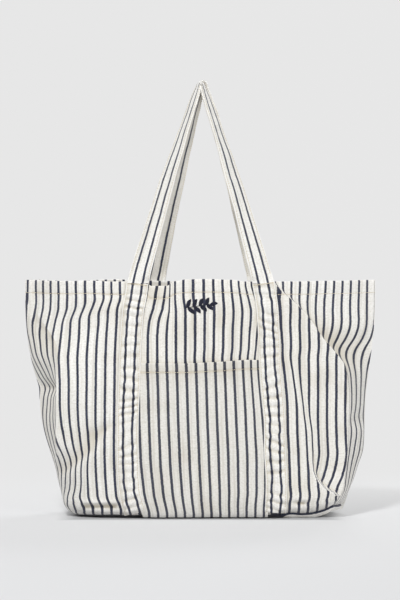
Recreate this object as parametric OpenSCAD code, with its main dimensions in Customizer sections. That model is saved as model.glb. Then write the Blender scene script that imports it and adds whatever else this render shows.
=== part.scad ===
// Foldable canvas tote bag, in millimetres. X is across the bag, -Y is the front, +Z is up.
// The origin is the middle of the base, on the floor.
// The cloth is drawn as thin plates. The base and both sides are split along their fold lines,
// so that the front and back can come together as they do when the bag is put away flat.

/* [Bag] */
// Width of the bag at the base
base_w = 384; // [360:2:410]
// Width of the bag at the rim
rim_w = 500; // [470:2:510]
// Height of the rim above the floor
bag_h = 338; // [325:1:350]
// Depth of the bag from front to back
bag_d = 140; // [130:1:150]

/* [Cloth] */
// Thickness of one layer of canvas, with its drape
cloth_t = 2; // [1.6:0.1:2.2]
// Thickness of the folded rim hem
hem_t = 3; // [2.8:0.1:3.2]
// Height of the rim hem
hem_h = 18; // [14:1:22]

/* [Straps] */
// Width of the strap
strap_w = 30; // [26:1:32]
// Distance between the strap centres on the lower part of the bag
strap_spread = 204; // [196:1:212]
// Distance between the strap centres at the rim
strap_rim_spread = 174; // [168:1:190]
// Height of the front handle above the rim
front_rise = 280; // [240:2:300]
// Height of the back handle above the rim
back_rise = 294; // [240:2:300]
// Bend radius of a handle at its top
bight_r = 6; // [5:0.5:10]

/* [Pocket] */
// Height of the pocket mouth above the floor
pocket_h = 217; // [190:1:240]
// Height of the pocket hem
pocket_hem_h = 12; // [9:1:15]

/* [Embroidery] */
// Length of the embroidered sprig
sprig_l = 48; // [40:1:60]
// Height of the sprig's centre above the floor
sprig_z = 303; // [290:1:306]

/* [Hidden] */

canvas = "ivory";
webbing = "floralwhite";
thread = "wheat";
navy = "midnightblue";

face_y = bag_d / 2;                 // outer face of the front and back panels
inner_y = face_y - cloth_t;         // inner face, where the gussets and base are hinged
hem_y = inner_y + hem_t;            // outer face of the hem
body_h = bag_h - hem_h;             // height of the single-layer cloth
lean = (rim_w - base_w) / 2 / bag_h; // how far a side leans out for each millimetre of height
lean_a = atan(lean);
side_t = cloth_t / cos(lean_a);     // thickness of a leaning side, measured along x
fold_gap = 0.5;                     // clearance at each fold line
side_seam_w = 8;                    // width of the seam allowance inside the bag
side_seam_t = 1.2;                  // its thickness, which clears the folded base
mitre = 14;                         // clearance of a folding base corner from the folding gusset
strap_bend_z = pocket_h;            // the straps start to draw together here
thread_w = 0.9;
thread_t = 0.4;
thread_inset = 2.5;
thread_lift = 0.35;                 // keeps a straight stitch line clear of the twisting face under it
skin_gap = 0.05;                    // clearance between leaning faces that lie on each other
seam_h = 4;
handle_gap = 0.4;
handle_splay = 4;                   // how far a handle leans out from the bag by its top
leg_steps = 24;
leg_squaring = 0.12;                // share of a leg over which its section turns square to it
bight_steps = 12;
leaf_t = 0.8;

// Outer x of the bag's side at height z.
function side_x(z) = base_w / 2 + lean * z;

// Centre x of a sewn strap at height z.
function strap_x(z) = z <= strap_bend_z
    ? strap_spread / 2
    : strap_spread / 2 - (strap_spread - strap_rim_spread) / 2 * (z - strap_bend_z) / (bag_h - strap_bend_z);

// A smooth step from 0 to 1.
function ease(t) = t <= 0 ? 0 : t >= 1 ? 1 : t * t * (3 - 2 * t);

// Draws its children, drawn on x and z, as a plate from y0 to y1.
module plate(y0, y1) {
    translate([0, y1, 0]) rotate([90, 0, 0]) linear_extrude(y1 - y0) children();
}

// Turns a front part into the matching back part.
module to_back() {
    mirror([0, 1, 0]) children();
}

module to_left() {
    mirror([1, 0, 0]) children();
}

// ---- Panels and hems ----

module panel_outline(z0, z1) {
    polygon([[-side_x(z0), z0], [side_x(z0), z0], [side_x(z1), z1], [-side_x(z1), z1]]);
}

module panel() {
    color(canvas) plate(-face_y, -inner_y) panel_outline(0, body_h);
}

module hem() {
    color(canvas) plate(-hem_y, -inner_y) panel_outline(body_h, bag_h);
}

// ---- Gussets: each side is two halves that meet at the fold in the middle ----

// The front half of the right side, between heights z0 and z1.
module gusset_half(z0, z1) {
    color(canvas) plate(-inner_y + fold_gap, -fold_gap)
        polygon([[side_x(z0) - side_t, z0], [side_x(z0), z0], [side_x(z1), z1], [side_x(z1) - side_t, z1]]);
}

module gusset() {
    gusset_half(0, body_h);
}

// The gusset's hem is pressed as thin as the cloth, so that the two halves can fold flat together.
module gusset_hem() {
    gusset_half(body_h, bag_h);
}

// The seam allowance that runs down the inside of the side, just behind the fold.
module side_seam() {
    z0 = 10;
    z1 = bag_h - 2;
    outer = side_t + skin_gap;
    inner = outer + side_seam_t;
    color(thread) plate(2 * fold_gap, side_seam_w)
        polygon([
            [side_x(z0) - inner, z0], [side_x(z0) - outer, z0],
            [side_x(z1) - outer, z1], [side_x(z1) - inner, z1]
        ]);
}

// ---- Base: two halves that fold up in the middle, with mitred ends that clear the gussets ----

module base_half() {
    edge = side_x(0) - side_t - mitre;
    tip = edge - inner_y;
    color(canvas) linear_extrude(cloth_t)
        polygon([[-edge, -inner_y + fold_gap], [edge, -inner_y + fold_gap], [tip, -fold_gap], [-tip, -fold_gap]]);
}

module base_seam() {
    color(thread) plate(-face_y - cloth_t, -face_y)
        polygon([[-side_x(0) + 2, 0], [side_x(0) - 2, 0], [side_x(0) - 3, seam_h], [-side_x(0) + 3, seam_h]]);
}

// ---- Straps ----

// A band that follows the right strap's centre line between heights z0 and z1.
module strap_band(z0, z1, offset_x, w) {
    zs = concat([z0], z0 < strap_bend_z && z1 > strap_bend_z ? [strap_bend_z] : [], [z1]);
    left = [for (z = zs) [strap_x(z) + offset_x - w / 2, z]];
    right = [for (i = [len(zs) - 1:-1:0]) [strap_x(zs[i]) + offset_x + w / 2, zs[i]]];
    polygon(concat(left, right));
}

// The right strap, sewn to the front from the base seam to the rim, over the hem.
module sewn_strap() {
    color(webbing) union() {
        plate(-face_y - cloth_t, -face_y) strap_band(seam_h, body_h, 0, strap_w);
        plate(-hem_y - cloth_t, -hem_y) strap_band(body_h - 0.01, bag_h, 0, strap_w);
    }
}

// Lines of stitching along both edges of the sewn straps on the front.
module strap_thread() {
    edge = strap_w / 2 - thread_inset;
    color(thread) for (side = [0, 1], offset_x = [-edge, edge]) mirror([side, 0, 0]) {
        plate(-face_y - cloth_t - thread_t, -face_y - cloth_t)
            strap_band(seam_h + 2, body_h - 2, offset_x, thread_w);
        plate(-hem_y - cloth_t - thread_t, -hem_y - cloth_t)
            strap_band(body_h + 1, bag_h - 8, offset_x, thread_w);
    }
}

// Two short dense bars of stitching across each strap, on the hem.
module bar_tacks() {
    color(thread) for (side = [0, 1], z = [body_h + 3, body_h + 8]) mirror([side, 0, 0])
        plate(-hem_y - cloth_t - 0.6, -hem_y - cloth_t)
            strap_band(z, z + 1.6, 0, strap_w - 4 * thread_inset);
}

// ---- Handles: a strap loop that leaves the rim flat and turns edge-on by its top ----

// The corners of the strap's section: c is its centre, w points across the strap, n out of its face.
function section(c, w, n, across, out) = [
    for (k = [[across[0], out[0]], [across[1], out[0]], [across[1], out[1]], [across[0], out[1]]])
        c + k[0] * w + k[1] * n
];

// One section for each step of the right leg, from the rim to where the top bend starts.
// lean_in is the leg's angle from upright, and p0 and p1 are its ends. The first section lies level
// along the rim, and the others soon turn square to the leg.
function leg_sections(p0, p1, lean_in, across, out) = [
    for (i = [0:leg_steps])
        let (
            t = i / leg_steps,
            tilt = lean_in * ease(t / leg_squaring),
            turn = 90 * ease((t - 0.03) / 0.94),
            w = [cos(tilt) * cos(turn), sin(turn), sin(tilt) * cos(turn)],
            n = [cos(tilt) * sin(turn), -cos(turn), sin(tilt) * sin(turn)]
        ) section(p0 + (p1 - p0) * t, w, n, across, out)
];

// The sections of the bend, from the right leg round to the left one.
function bight_sections(centre, lean_in, across, out) = [
    for (i = [1:bight_steps - 1])
        let (
            a = lean_in + (180 - 2 * lean_in) * i / bight_steps,
            n = [cos(a), 0, sin(a)]
        ) section(centre + bight_r * n, [0, 1, 0], n, across, out)
];

function mirrored(sections) = [
    for (i = [len(sections) - 1:-1:0]) [for (p = sections[i]) [-p[0], p[1], p[2]]]
];

// A closed band through a list of four-cornered sections.
module sweep(sections) {
    n = len(sections);
    points = [for (s = sections) for (p = s) p];
    sides = [for (i = [0:n - 2], k = [0:3], half = [0, 1])
        let (a = 4 * i + k, b = 4 * i + (k + 1) % 4)
        half == 0 ? [a, b, b + 4] : [a, b + 4, a + 4]];
    last = 4 * (n - 1);
    ends = [[2, 1, 0], [3, 2, 0], [last, last + 1, last + 2], [last, last + 2, last + 3]];
    polyhedron(points, concat(sides, ends), convexity = 6);
}

// The front handle's loop, as a band of the strap: across is its extent over the width and out its thickness.
module loop(rise, across, out) {
    centre = [0, -hem_y - cloth_t / 2 - handle_splay, bag_h + rise - bight_r];
    x0 = strap_rim_spread / 2;
    high = centre[2] - bag_h - handle_gap;
    lean_in = atan(x0 / high) - asin(bight_r / norm([x0, high]));
    p0 = [x0, -hem_y - cloth_t / 2, bag_h + handle_gap];
    p1 = centre + bight_r * [cos(lean_in), 0, sin(lean_in)];
    leg = leg_sections(p0, p1, lean_in, across, out);
    sweep(concat(leg, bight_sections(centre, lean_in, across, out), mirrored(leg)));
}

module handle_loop(rise) {
    color(webbing) loop(rise, [-strap_w / 2, strap_w / 2], [-cloth_t / 2, cloth_t / 2]);
}

// Stitching along both edges of the handle, on its outer face.
module handle_thread(rise) {
    edge = strap_w / 2 - thread_inset;
    color(thread) for (mid = [-edge, edge])
        loop(rise, [mid - thread_w / 2, mid + thread_w / 2],
            [cloth_t / 2 + thread_lift, cloth_t / 2 + thread_lift + thread_t]);
}

// ---- Rim stitching, between and beside the straps ----

module hem_thread() {
    z = body_h + 1.5;
    x1 = strap_x(z) - strap_w / 2 - 0.5;
    x2 = strap_x(z) + strap_w / 2 + 0.5;
    x3 = side_x(z) - 3;
    color(thread) for (span = [[-x3, -x2], [-x1, x1], [x2, x3]])
        plate(-hem_y - thread_t, -hem_y)
            polygon([[span[0], z], [span[1], z], [span[1], z + thread_w], [span[0], z + thread_w]]);
}

// ---- Pocket: a patch between the straps, open at the top ----

pocket_x = strap_spread / 2 - strap_w / 2 - 0.2;
pocket_y = face_y + cloth_t + 1;
pocket_sewn = 8;

module pocket_panel() {
    color(canvas) difference() {
        plate(-pocket_y, -face_y)
            polygon([[-pocket_x, seam_h], [pocket_x, seam_h], [pocket_x, pocket_h], [-pocket_x, pocket_h]]);
        translate([-pocket_x + pocket_sewn, -face_y - 1, seam_h + pocket_sewn])
            cube([2 * (pocket_x - pocket_sewn), 2, pocket_h]);
    }
}

module pocket_hem() {
    color(canvas) translate([-pocket_x, -pocket_y - 1, pocket_h - pocket_hem_h])
        cube([2 * pocket_x, 1, pocket_hem_h]);
}

module pocket_thread() {
    color(thread) translate([-pocket_x + 1, -pocket_y - 1 - thread_t, pocket_h - pocket_hem_h + 1])
        cube([2 * pocket_x - 2, thread_t, thread_w]);
}

// ---- Embroidery: a plain sprig of leaves along a stem ----

// A leaf that starts at the origin and points along +X.
module leaf(length, bow) {
    r = (length * length / 4 + bow * bow) / (2 * bow);
    intersection() {
        translate([length / 2, bow - r]) circle(r, $fn = 64);
        translate([length / 2, r - bow]) circle(r, $fn = 64);
    }
}

module sprig_outline() {
    leaf_l = sprig_l / 4;
    square([sprig_l * 0.8, 1.2], center = true);
    for (i = [0:3], side = [-1, 1])
        translate([sprig_l * (-0.36 + 0.2 * i), 0]) rotate(side * 42) leaf(leaf_l, 2.6);
    translate([sprig_l * 0.38, 0]) leaf(leaf_l * 0.9, 2.6);
}

module embroidered_sprig() {
    color(navy) plate(-face_y - leaf_t, -face_y) translate([0, sprig_z]) sprig_outline();
}

// ---- The bag ----

panel();  // front_panel
to_back() panel();  // back_panel
hem();  // front_hem
to_back() hem();  // back_hem
to_left() gusset();  // left_gusset_front
to_left() to_back() gusset();  // left_gusset_rear
gusset();  // right_gusset_front
to_back() gusset();  // right_gusset_rear
to_left() gusset_hem();  // left_hem_front
to_left() to_back() gusset_hem();  // left_hem_rear
gusset_hem();  // right_hem_front
to_back() gusset_hem();  // right_hem_rear
to_left() side_seam();  // left_side_seam
side_seam();  // right_side_seam
base_half();  // base_front
to_back() base_half();  // base_rear
base_seam();  // front_base_seam
to_back() base_seam();  // back_base_seam
to_left() sewn_strap();  // front_strap_left
sewn_strap();  // front_strap_right
to_left() to_back() sewn_strap();  // back_strap_left
to_back() sewn_strap();  // back_strap_right
handle_loop(front_rise);  // front_handle
to_back() handle_loop(back_rise);  // back_handle
handle_thread(front_rise);  // front_handle_thread
to_back() handle_thread(back_rise);  // back_handle_thread
strap_thread();  // front_strap_thread
to_back() strap_thread();  // back_strap_thread
bar_tacks();  // front_bar_tacks
to_back() bar_tacks();  // back_bar_tacks
hem_thread();  // front_hem_thread
to_back() hem_thread();  // back_hem_thread
pocket_panel();
pocket_hem();
pocket_thread();
embroidered_sprig();
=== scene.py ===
"""The looks of the foldable striped tote bag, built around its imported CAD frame."""
import math

import bpy
import numpy as np
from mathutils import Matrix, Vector


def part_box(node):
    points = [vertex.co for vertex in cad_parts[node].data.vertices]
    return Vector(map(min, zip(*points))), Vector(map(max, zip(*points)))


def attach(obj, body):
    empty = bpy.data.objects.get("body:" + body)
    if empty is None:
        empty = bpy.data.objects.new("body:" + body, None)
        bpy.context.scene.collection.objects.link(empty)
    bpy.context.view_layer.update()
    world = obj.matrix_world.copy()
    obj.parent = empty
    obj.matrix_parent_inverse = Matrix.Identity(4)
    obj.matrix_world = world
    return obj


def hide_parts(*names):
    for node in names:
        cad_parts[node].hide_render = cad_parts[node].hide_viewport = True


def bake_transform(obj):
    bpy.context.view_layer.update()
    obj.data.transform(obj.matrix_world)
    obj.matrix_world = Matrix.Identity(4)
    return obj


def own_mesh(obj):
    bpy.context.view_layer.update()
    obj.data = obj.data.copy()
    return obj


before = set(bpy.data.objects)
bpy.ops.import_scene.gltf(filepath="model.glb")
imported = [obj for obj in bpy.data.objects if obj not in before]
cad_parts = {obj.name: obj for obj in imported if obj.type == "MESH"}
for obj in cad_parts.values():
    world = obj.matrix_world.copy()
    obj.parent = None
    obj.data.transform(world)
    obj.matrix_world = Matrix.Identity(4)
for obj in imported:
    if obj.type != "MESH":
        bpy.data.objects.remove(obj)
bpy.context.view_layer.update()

# All sizes are in millimetres and become metres when a mesh is made.
MM = 0.001

# ---- Sizes that come from the CAD frame ----

rim_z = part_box("front_hem")[1].z / MM
face_y = -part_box("front_panel")[0].y / MM
rim_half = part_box("front_hem")[1].x / MM
front_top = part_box("front_handle")[1].z / MM
back_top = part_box("back_handle")[1].z / MM
hem_h = rim_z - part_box("front_hem")[0].z / MM
pocket_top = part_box("pocket_panel")[1].z / MM
sprig_low, sprig_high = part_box("embroidered_sprig")
sprig_z = (sprig_low.z + sprig_high.z) / 2 / MM

# ---- Cloth values ----

cloth_t = 1.1           # one layer of canvas
stripe_pitch = 13.35    # distance between navy stripes
stripe_phase = -8.0     # the stripe nearest the middle of the front
strap_w = 31.0
strap_t = 2.4           # a strap is folded cloth, four layers thick
hem_stitch = 17.0       # hem stitching below the rim
stitch_step = 3.4
stitch_len = 2.5
stitch_r = 0.42
tack_len = 1.9          # the zigzag stitches across a strap's top
tack_r = 0.3
pocket_stitch = 11.5    # the pocket's hem stitching below its mouth
hem_roll = 1.45         # radius of the rolled edge at the rim
face_offset = 2.5       # a sewn strap's outer face above the cloth under it


# ---- Small maths helpers ----

def smooth(a, b, t):
    """0 below a, 1 above b, and a smooth step between."""
    u = np.clip((t - a) / (b - a), 0, 1)
    return u * u * (3 - 2 * u)


def bump(t, middle, width):
    """A rounded hill, 1 at its middle."""
    return np.exp(-((t - middle) / width) ** 2)


def through(t, *points):
    """A smooth curve through (t, value) points, level beyond both ends."""
    knots = np.array([p[0] for p in points], float)
    values = np.array([p[1] for p in points], float)
    slopes = np.gradient(values, knots)
    t = np.clip(t, knots[0], knots[-1])
    i = np.clip(np.searchsorted(knots, t) - 1, 0, len(knots) - 2)
    h = knots[i + 1] - knots[i]
    u = (t - knots[i]) / h
    return (
        values[i] * (1 + 2 * u) * (1 - u) ** 2
        + slopes[i] * h * u * (1 - u) ** 2
        + values[i + 1] * u * u * (3 - 2 * u)
        + slopes[i + 1] * h * u * u * (u - 1)
    )


def noise(x, y, cell_x, cell_y, seed):
    """Smooth random hills between -1 and 1, with cells of the given size."""
    table = np.random.RandomState(seed).uniform(-1, 1, (64, 64))
    gx = np.asarray(x, float) / cell_x + 31.7
    gy = np.asarray(y, float) / cell_y + 17.3
    ix = np.floor(gx).astype(int)
    iy = np.floor(gy).astype(int)
    u = gx - ix
    v = gy - iy
    u = u * u * u * (u * (6 * u - 15) + 10)
    v = v * v * v * (v * (6 * v - 15) + 10)
    a = table[ix % 64, iy % 64] * (1 - u) + table[(ix + 1) % 64, iy % 64] * u
    b = table[ix % 64, (iy + 1) % 64] * (1 - u) + table[(ix + 1) % 64, (iy + 1) % 64] * u
    return a * (1 - v) + b * v


def path_x(path, z):
    """x of a path of (x, z) points at height z, with the path's lowest and highest z."""
    xs, zs = np.array(sorted(path, key=lambda point: point[1]), float).T
    return np.interp(z, zs, xs), zs[0], zs[-1]


def fold(x, z, path, rise, left, right):
    """A fold along a path of (x, z) points, rising over the width left and falling over the width right."""
    centre, low, high = path_x(path, z)
    ends = smooth(low - 12, low + 12, z) * (1 - smooth(high - 14, high + 10, z))
    d = x - centre
    side = np.where(d < 0, np.exp(-(d / left) ** 2), np.exp(-(d / right) ** 2))
    return rise * ends * side


# ---- The bag's shape: plan curves that change with height ----

def edge_x(side, z):
    """Distance of the side seam from the middle."""
    if side > 0:
        return through(
            z, (0, 205), (12, 211), (38, 219), (70, 229), (90, 236), (120, 238), (170, 240),
            (212, 245), (247, 250), (283, 253), (rim_z, 254))
    return through(
        z, (0, 183), (5, 189), (11, 194), (28, 201), (56, 208), (95, 220), (127, 229), (165, 234),
        (184, 235), (200, 240), (233, 248), (283, 254), (rim_z, 255))


def crease_x(side, z):
    """Distance from the middle of the edge where the front turns back into the side."""
    if side > 0:
        return through(
            z, (0, 190), (17, 199), (60, 207), (120, 212), (190, 212), (209, 209), (219, 206), (230, 198),
            (258, 174), (276, 162), (294, 148), (310, 133), (324, 117), (rim_z, 104))
    return through(
        z, (0, 182), (5, 187), (11, 192), (28, 197), (40, 201), (56, 206), (72, 209), (90, 208), (120, 206),
        (200, 206), (232, 205), (250, 209), (268, 221), (285, 234), (305, 242), (rim_z, 245))


def middle_depth(z):
    """Distance of the front from the middle plane, at the middle of the front."""
    return through(z, (0, face_y - 7), (4, face_y - 3), (14, face_y), (70, face_y + 1), (190, face_y - 2),
                   (rim_z, face_y - 5))


def crease_depth(side, z):
    """Distance of that edge from the middle plane."""
    if side > 0:
        return through(z, (0, 52), (5, 58), (20, 62), (60, 55), (120, 52), (200, 53), (230, 56),
                       (280, 61), (rim_z, face_y - 7))
    return through(z, (0, 38), (20, 42), (40, 33), (60, 32), (85, 42), (105, 53), (130, 60), (200, 60),
                   (232, 52), (252, 42), (268, 31), (285, 20), (305, 11), (rim_z, 7))


def front_plan(x, z):
    """Depth of the front at x, before any folds."""
    depth = 0
    for side in (-1, 1):
        inside = np.clip(np.abs(x) / crease_x(side, z), 0, 1.02)
        middle = middle_depth(z)
        bend = 2.6 if side > 0 else through(z, (20, 6), (60, 7), (90, 7), (140, 4), (200, 3.2))
        part = middle - (middle - crease_depth(side, z)) * inside ** bend
        depth = depth + np.where(np.sign(x) == side, part, 0)
    return np.where(x == 0, middle_depth(z), depth)


# ---- Straps: where they run on the front ----

def strap_x(side, z):
    """Middle of a sewn strap at height z."""
    if side > 0:
        return through(z, (0, 106.5), (26, 107.6), (55, 108), (97, 105.8), (140, 105.4), (166, 103.5),
                       (211, 99.4), (268, 97), (310, 94), (333, 90), (rim_z, 89.3), (rim_z + 40, 81))
    return through(z, (0, -92), (8, -94), (26, -98.5), (55, -102), (97, -103.3), (140, -103.3),
                   (190, -101.5), (261, -98.7), (299, -95.5), (325, -91), (rim_z, -89.5), (rim_z + 40, -81))


def back_strap_x(side, z):
    """Middle of a sewn strap on the back."""
    if side > 0:
        return through(z, (0, 101), (173, 103), (rim_z, 86))
    return through(z, (0, -101), (173, -92), (rim_z, -66))


# ---- Folds and wrinkles ----

def overlap(x, z, path, rise, recover, sharp=1.3):
    """A step down from left to right over a path; the cloth to its right rises again over recover."""
    centre, low, high = path_x(path, z)
    d = x - centre
    ends = smooth(low - 8, low + 8, z) * (1 - smooth(high - 30, high + 10, z))
    left = 0.35 * np.exp(-np.clip(-d, 0, None) / 8)
    right = 0.35 - 1.35 * (1 - np.exp(-np.clip(d, 0, None) / sharp))
    right = right + np.clip(d / recover, 0, 1) ** 0.8
    return rise * ends * np.where(d < 0, left, np.minimum(right, 0.35))


corner_crease = [(143, 180), (148, 145), (157, 124), (159, 82), (161, 67), (168, 54), (177, 42), (192, 26),
                 (197, 20)]
edge_fold = [(177, 240), (186, 222), (194, 192), (202, 162), (209, 140), (213, 122), (213, 100), (210, 74),
             (208, 56)]
corner_valley = [(-128, 134), (-144, 122), (-160, 98), (-178, 82), (-200, 62)]


def front_folds(x, z):
    """Depth that folds and wrinkles add to the front."""
    d = np.zeros(np.broadcast(x, z).shape)
    # The sharp crease that runs down to the right corner of the base, over a hollow.
    low = 1 - smooth(78, 104, z)
    d += overlap(x, z, corner_crease, 1.0 + 2.6 * low, 15 + 12 * low)
    # A fainter one beside the right edge, and the hollow between them.
    d += overlap(x, z, edge_fold, 1.3, 9)
    d -= fold(x, z, [(176, 200), (184, 150), (184, 90), (190, 60)], 2.2, 12, 14)
    # Small tucks above the base.
    d -= 3.2 * bump(x, 142, 8) * bump(z, 16.5, 3)
    d += 1.4 * bump(x, 146, 13) * bump(z, 24, 5)
    d -= 3.4 * bump(np.clip(x, -162, -124), x, 6) * bump(z, 13, 3.2)
    d += 2.0 * bump(np.clip(x, -162, -124), x, 8) * bump(z, 20.5, 3.6)
    # The soft diagonal valley above the left corner, and the bulge under it.
    d -= fold(x, z, corner_valley, 5.0, 20, 9)
    d += fold(x, z, [(-136, 108), (-152, 86), (-172, 66), (-192, 48)], 1.8, 16, 14)
    # Drag lines that fan out of the roots of the handles.
    for side in (-1, 1):
        root = strap_x(side, rim_z)
        spread = np.arctan2((x - root) * side, rim_z + 6 - z)
        reach = smooth(8, 30, rim_z - z) * (1 - smooth(60, 130, rim_z - z))
        d += 0.9 * np.sin(spread * 17 + side) * reach * bump(spread, 0.35, 0.55)
    # The dip in the rim beside the left strap pushes the cloth out below it.
    d += 1.8 * bump(x, -60, 14) * bump(z, 316, 18)
    d -= fold(x, z, [(22, 306), (29, 288), (27, 262)], 1.6, 7, 7)
    # Where the stripes jog, the cloth turns over a low ridge.
    d += 1.6 * bump(z, 302 - 0.05 * (x + 120), 11) * smooth(-60, -85, x) * smooth(-235, -200, x)
    # Broad unevenness of soft, washed canvas.
    d += 1.4 * noise(x, z, 95, 120, 3) + 1.0 * noise(x, z, 42, 55, 5) + 0.45 * noise(x, z, 17, 22, 8)
    # The folded hem is a little proud, and its stitching pulls in.
    hem = smooth(rim_z - hem_stitch - 1, rim_z - hem_stitch + 3, z)
    d += 0.5 * hem
    ripple = noise(x, z, 7, 40, 21)
    d -= (0.75 + 0.35 * ripple) * bump(z, rim_z - hem_stitch, 2.0)
    d += 0.45 * ripple * bump(z, rim_z - hem_stitch, 9)
    # Puckers above the base seam.
    d += 0.9 * noise(x, z, 8, 30, 33) * bump(z, 5, 9)
    # The straps' stitching pulls the cloth on both sides of it.
    for side in (-1, 1):
        off = np.abs(x - strap_x(side, z)) - strap_w / 2
        near = np.exp(-np.clip(off, 0, None) / 7)
        d += 0.5 * noise(x * 0.3, z, 30, 9, 40 + side) * near
        d -= 0.7 * np.exp(-np.clip(off, 0, None) / 3.5)
    return d


def back_folds(x, z):
    """Depth that folds and wrinkles add to the back."""
    d = 2.2 * noise(x, z, 90, 120, 13) + 0.9 * noise(x, z, 40, 60, 15) + 0.25 * noise(x, z, 17, 26, 18)
    d += fold(x, z, [(-150, 210), (-178, 120), (-195, 40)], 3.0, 14, 8)
    d -= fold(x, z, [(-166, 200), (-196, 110)], 4.0, 12, 12)
    d += fold(x, z, [(120, 190), (160, 90), (188, 30)], 2.5, 8, 14)
    d -= fold(x, z, [(132, 170), (172, 80)], 4.0, 12, 12)
    d += 0.5 * smooth(rim_z - hem_stitch - 1, rim_z - hem_stitch + 3, z)
    d -= 0.55 * bump(z, rim_z - hem_stitch, 2.2)
    d += 0.8 * noise(x, z, 8, 30, 35) * bump(z, 5, 9)
    for side in (-1, 1):
        off = np.abs(x - back_strap_x(side, z)) - strap_w / 2
        d += 0.45 * noise(x * 0.3, z, 30, 9, 50 + side) * np.exp(-np.clip(off, 0, None) / 7)
        d -= 0.5 * np.exp(-np.clip(off, 0, None) / 3.5)
    return d


def front_y(x, z):
    """y of the front cloth's outer face."""
    return -(front_plan(x, z) + front_folds(x, z))


def back_y(x, z):
    """y of the back cloth's outer face, which stands upright where the handle is sewn on."""
    soft = front_plan(-np.abs(x), z) + back_folds(x, z)
    upright = smooth(rim_z - 90, rim_z - 20, z) * (1 - smooth(110, 205, np.abs(x)))
    return soft + (face_y + 0.4 + 0.5 * noise(x, z, 40, 60, 15) - soft) * upright


def front_rim(x):
    """How far the front rim stands above or below its mean height."""
    dip = -6.5 * smooth(-80, -70, x) * (1 - smooth(-48, -36, x))
    rise = 2.4 * smooth(-36, -20, x) * (1 - smooth(42, 62, x))
    return dip + rise - 1.6 + 0.9 * noise(x, 0, 34, 10, 61)


def back_rim(x):
    """The same for the back rim."""
    return 3.4 * bump(x, -130, 42) - 2.4 + 0.9 * noise(x, 0, 40, 10, 62)


# Each face's cloth, rim and strap line, and the sign of y outwards.
face_shapes = {"front": (front_y, front_rim, strap_x, -1), "back": (back_y, back_rim, back_strap_x, 1)}


def shear(x, z):
    """How far the stripes on the front are pulled to the right at (x, z)."""
    past_strap = smooth(-108, -88, x)
    return left_shear(x, z) * (1 - past_strap) + (middle_shear(x, z) + right_shear(x, z)) * past_strap


def left_shear(x, z):
    """The pull to the left of the left strap."""
    base_pull = through(z, (8, 14.5), (15, 13), (26, 9), (41, 7.3), (55, 6.2), (83, 5), (140, 5.2),
                        (190, 5.8), (239, 6.3), (261, 7), (282, 8), (300, 8.5))
    # A jog that runs up to the right, under the rim.
    jog_z = 308 + 0.30 * np.clip(x + 128, -70, 0)
    weak = 0.6 * smooth(-188, -222, x)
    jog = (1 - weak) * smooth(jog_z - 14, jog_z + 12, z) + weak * smooth(255, 288, z)
    jog = jog * (4.5 + 3.0 * smooth(-116, -145, x))
    # Below, the stripes run into the valley above the corner.
    rate = through(z, (12, 0.05), (26, 0.36), (41, 0.5), (60, 0.56), (83, 0.46), (97, 0.3), (119, 0.18),
                   (140, 0.13), (200, 0.07), (230, 0))
    start = through(z, (20, -180), (41, -166), (69, -160), (97, -150), (119, -146), (160, -152))
    past = (start - x + np.sqrt((start - x) ** 2 + 30)) / 2
    edge = through(z, (10, 4.5), (30, 4), (60, 1), (90, 2), (130, 3), (190, 2.4), (230, 1.6), (262, 2),
                   (285, 4.3), (rim_z, 4))
    return base_pull + jog + rate * np.minimum(past, 50) - edge * smooth(-140, -215, x)


def middle_shear(x, z):
    """The pull between the straps, above the pocket and below."""
    low = through(z, (8, 10.5), (26, 8.5), (41, 7.6), (69, 6), (97, 5), (140, 3), (190, 1.2), (230, -0.3))
    low = low + 4 * (1 - smooth(5, 40, z)) * np.clip(-x / 70, -1, 1)
    beside_left = through(z, (261, 0), (282, 2.5), (291, 4.8), (299, 7.2), (308, 8.6), (316, 10),
                          (325, 11), (rim_z, 13)) * smooth(-36, -52, x)
    dent = -3.0 * smooth(292, 318, z) * bump(x, -18, 22)
    strength = through(z, (100, 0.2), (239, 0.65), (261, 0.45), (282, 0.2), (299, 0.2), (308, 0.4),
                       (316, 0.6), (325, 0.85), (333, 1.05))
    gap = strap_x(1, z) - strap_w / 2 - x
    beside_right = -15 * strength * np.exp(-np.clip(gap, 0, None) / 20) * smooth(-22, -10, gap)
    high = (0.9 * smooth(-30, 0, x) + 0.8 * smooth(20, 45, x)) * smooth(225, 245, z)
    return low + beside_left + dent + beside_right + high + 1.0 * bump(x, 40, 22) * bump(z, 292, 18)


def right_shear(x, z):
    """The pull to the right of the right strap: full beside the strap, none past the corner crease."""
    pull = through(z, (15, 8), (26, 9), (41, 8), (62, 8.6), (97, 8.7), (119, 8.5), (140, 9), (166, 9.2),
                   (190, 7.9), (211, 6.4), (239, 4.4), (268, 2.3), (296, -0.3), (310, -2.6), (333, -4.7))
    middle = np.interp(z, (20, 26, 42, 54, 67, 82, 124, 145, 166, 190, 211, 239, rim_z),
                       (197, 192, 177, 168, 162, 160, 158, 151, 146, 139, 133, 120, 112))
    width = 1.5 + 8.5 * smooth(55, 90, z)
    beyond = smooth(middle - width, middle + width, x)
    low = through(z, (15, 10), (41, 7.6), (69, 6), (97, 5), (140, 3), (190, 1.2), (230, 0))
    corner = through(z, (26, -10), (41, -9), (62, -1), (83, 3.7), (105, 2.6), (126, 1.6), (200, 1.6),
                     (250, 1))
    under_strap = smooth(-6, 6, x - strap_x(1, z))
    return under_strap * ((pull + 0.3) * (1 - beyond) + (corner - low + 1.2) * beyond)


def slide(side, z):
    """How far the side cloth has slipped past the edge of the front, at height z."""
    if side > 0:
        return through(z, (20, 37), (60, 32), (120, 26), (222, 21), (239, 17.4), (254, 10.9), (268, 7.9),
                       (284, 6.2))
    return through(z, (60, 0), (100, 8), (140, 20), (183, 28), (215, 22), (240, 14), (270, 4), (300, 0))


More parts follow.
